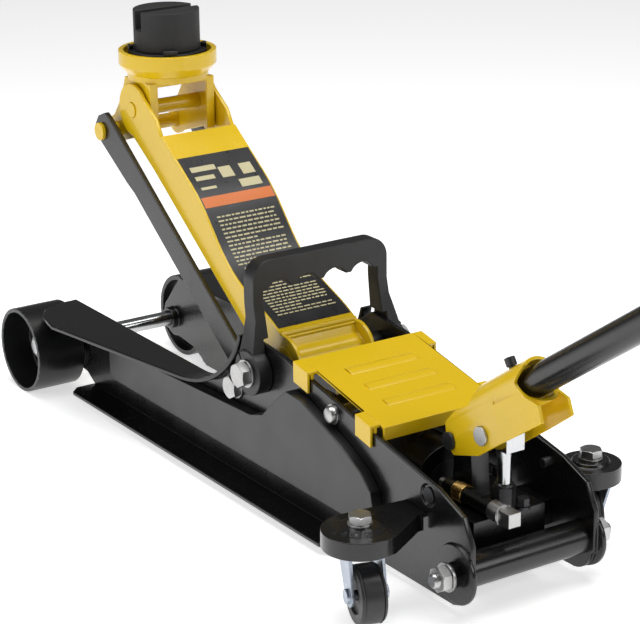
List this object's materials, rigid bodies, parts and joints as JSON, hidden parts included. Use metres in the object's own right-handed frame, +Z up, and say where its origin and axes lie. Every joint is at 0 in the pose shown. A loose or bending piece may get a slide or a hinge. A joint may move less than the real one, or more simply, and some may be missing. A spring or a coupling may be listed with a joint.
{
  "type": "hydraulic trolley jack",
  "caption": "Low hydraulic trolley jack with a raised parallelogram lift arm, swivel saddle with rubber pad, pump handle, carry handle and casters.",
  "frame": {"origin": "on the floor under the middle of the jack's overall box, at rest with the arm raised", "axes": "+X from the front wheels towards the handle's end, +Y to the right-hand side plate, +Z up"},
  "size_m": [1.1146, 0.289, 0.4693],
  "materials": {
    "black_paint": "satin black paint",
    "panel_paint": "satin dark grey paint",
    "yellow_paint": "gloss yellow paint",
    "zinc": "bright zinc plate",
    "fork_zinc": "bluish zinc plate",
    "chrome": "polished",
    "dark_steel": "blackened steel",
    "wheel_black": "satin black with a worn rim",
    "rubber": "matt",
    "plastic": "fine grain",
    "tread": "smooth hard tread",
    "spring_steel": "oiled spring wire"
  },
  "bodies": {
    "chassis": {"side_plate_left": "black_paint", "side_plate_right": "black_paint", "side_panel_left": "panel_paint", "side_panel_right": "panel_paint", "front_axle": "chrome", "axle_nut_left": "zinc", "axle_nut_right": "zinc", "pivot_shaft": "dark_steel", "pivot_bolt_left": "zinc", "pivot_bolt_right": "zinc", "link_bolt_left": "zinc", "link_bolt_right": "zinc", "tie_rod": "zinc", "rear_tube": "black_paint", "rear_bolt_left": "zinc", "rear_bolt_right": "zinc", "cover_plate": "yellow_paint", "power_block": "black_paint", "reservoir": "black_paint", "cylinder": "dark_steel", "pump_gland": "dark_steel", "pump_lug": "black_paint", "release_sleeve": "black_paint", "side_screw_left": "dark_steel", "side_screw_right": "dark_steel", "caster_bracket_left": "black_paint", "caster_bracket_right": "black_paint", "king_bolt_left": "zinc", "king_bolt_right": "zinc", "carry_handle": "plastic"},
    "arm": {"lift_arm": "yellow_paint", "carrier_pin": "yellow_paint", "crank_pin": "dark_steel"},
    "links": {"link_left": "black_paint", "link_right": "black_paint", "link_pin": "yellow_paint"},
    "carrier": {"saddle_carrier": "yellow_paint"},
    "saddle_plate": {"saddle": "dark_steel"},
    "pad": {"rubber_pad": "rubber"},
    "ram_group": {"ram": "chrome", "crosshead": "dark_steel", "spring_left": "spring_steel", "spring_right": "spring_steel"},
    "socket": {"socket_hood": "yellow_paint", "socket_sleeve": "yellow_paint", "socket_pin": "dark_steel", "pump_pin": "zinc"},
    "handle": {"handle_tube": "black_paint", "handle_grip": "rubber"},
    "screw": {"lock_screw": "dark_steel"},
    "plunger": {"pump_plunger": "chrome"},
    "release": {"release_spindle": "chrome"},
    "front_wheel_left": {"wheel_left": "wheel_black"},
    "front_wheel_right": {"wheel_right": "wheel_black"},
    "fork_left": {"caster_fork_left": "fork_zinc"},
    "fork_right": {"caster_fork_right": "fork_zinc"},
    "roller_left": {"caster_wheel_left": "tread"},
    "roller_right": {"caster_wheel_right": "tread"}
  },
  "joints": [
    {"name": "lift", "type": "hinge", "parent": "chassis", "child": "arm", "pos_m": [-0.14931, 0.0105, 0.12], "axis": [0, 1, 0], "range_deg": [-38, 0]},
    {"name": "link_swing", "type": "hinge", "parent": "chassis", "child": "links", "pos_m": [-0.19031, 0.0105, 0.093], "axis": [0, 1, 0], "range_deg": [-38.5, 0.5]},
    {"name": "carrier_level", "type": "hinge", "parent": "arm", "child": "carrier", "pos_m": [-0.40675, 0.0105, 0.29627], "axis": [0, 1, 0], "range_deg": [-0.5, 38.5]},
    {"name": "saddle_turn", "type": "hinge", "parent": "carrier", "child": "saddle_plate", "pos_m": [-0.40675, 0.0105, 0.33627], "axis": [0, 0, 1], "continuous": true},
    {"name": "pad_lift", "type": "slide", "parent": "saddle_plate", "child": "pad", "axis": [0, 0, 1], "range_m": [0, 0.03]},
    {"name": "ram_slide", "type": "slide", "parent": "chassis", "child": "ram_group", "axis": [-1, 0, 0], "range_m": [-0.03957, 0.0005], "deforming": ["spring_left", "spring_right"]},
    {"name": "pump_stroke", "type": "hinge", "parent": "chassis", "child": "socket", "pos_m": [0.06769, 0.0105, 0.116], "axis": [0, 1, 0], "range_deg": [-4, 22]},
    {"name": "plunger_slide", "type": "slide", "parent": "chassis", "child": "plunger", "axis": [0, 0, 1], "range_m": [-0.01754, 0.0036]},
    {"name": "handle_pull", "type": "slide", "parent": "socket", "child": "handle", "axis": [0.829, 0, 0.5592], "range_m": [0, 0.035]},
    {"name": "screw_turn", "type": "hinge", "parent": "socket", "child": "screw", "pos_m": [0.12971, 0.0105, 0.17384], "axis": [-0.5592, 0, 0.829], "continuous": true},
    {"name": "release_turn", "type": "hinge", "parent": "chassis", "child": "release", "pos_m": [0.11069, -0.0065, 0.0735], "axis": [1, 0, 0], "range_deg": [0, 180]},
    {"name": "wheel_left_spin", "type": "hinge", "parent": "chassis", "child": "front_wheel_left", "pos_m": [-0.51531, -0.0815, 0.042], "axis": [0, 1, 0], "continuous": true},
    {"name": "wheel_right_spin", "type": "hinge", "parent": "chassis", "child": "front_wheel_right", "pos_m": [-0.51531, 0.1025, 0.042], "axis": [0, 1, 0], "continuous": true},
    {"name": "caster_left_swivel", "type": "hinge", "parent": "chassis", "child": "fork_left", "pos_m": [0.08869, -0.1135, 0.07], "axis": [0, 0, 1], "continuous": true},
    {"name": "caster_right_swivel", "type": "hinge", "parent": "chassis", "child": "fork_right", "pos_m": [0.08869, 0.1185, 0.07], "axis": [0, 0, 1], "continuous": true},
    {"name": "caster_left_roll", "type": "hinge", "parent": "fork_left", "child": "roller_left", "pos_m": [0.10214, -0.11736, 0.024], "axis": [0.2756, 0.9613, 0], "continuous": true},
    {"name": "caster_right_roll", "type": "hinge", "parent": "fork_right", "child": "roller_right", "pos_m": [0.07523, 0.12236, 0.024], "axis": [-0.2756, -0.9613, 0], "continuous": true}
  ],
  "couplings": [
    {"joint": "link_swing", "follows": "lift", "ratio": 1},
    {"joint": "carrier_level", "follows": "lift", "ratio": -1},
    {"joint": "ram_slide", "follows": "lift", "m_per_rad": 0.058906},
    {"joint": "plunger_slide", "follows": "pump_stroke", "m_per_rad": -0.044389}
  ]
}
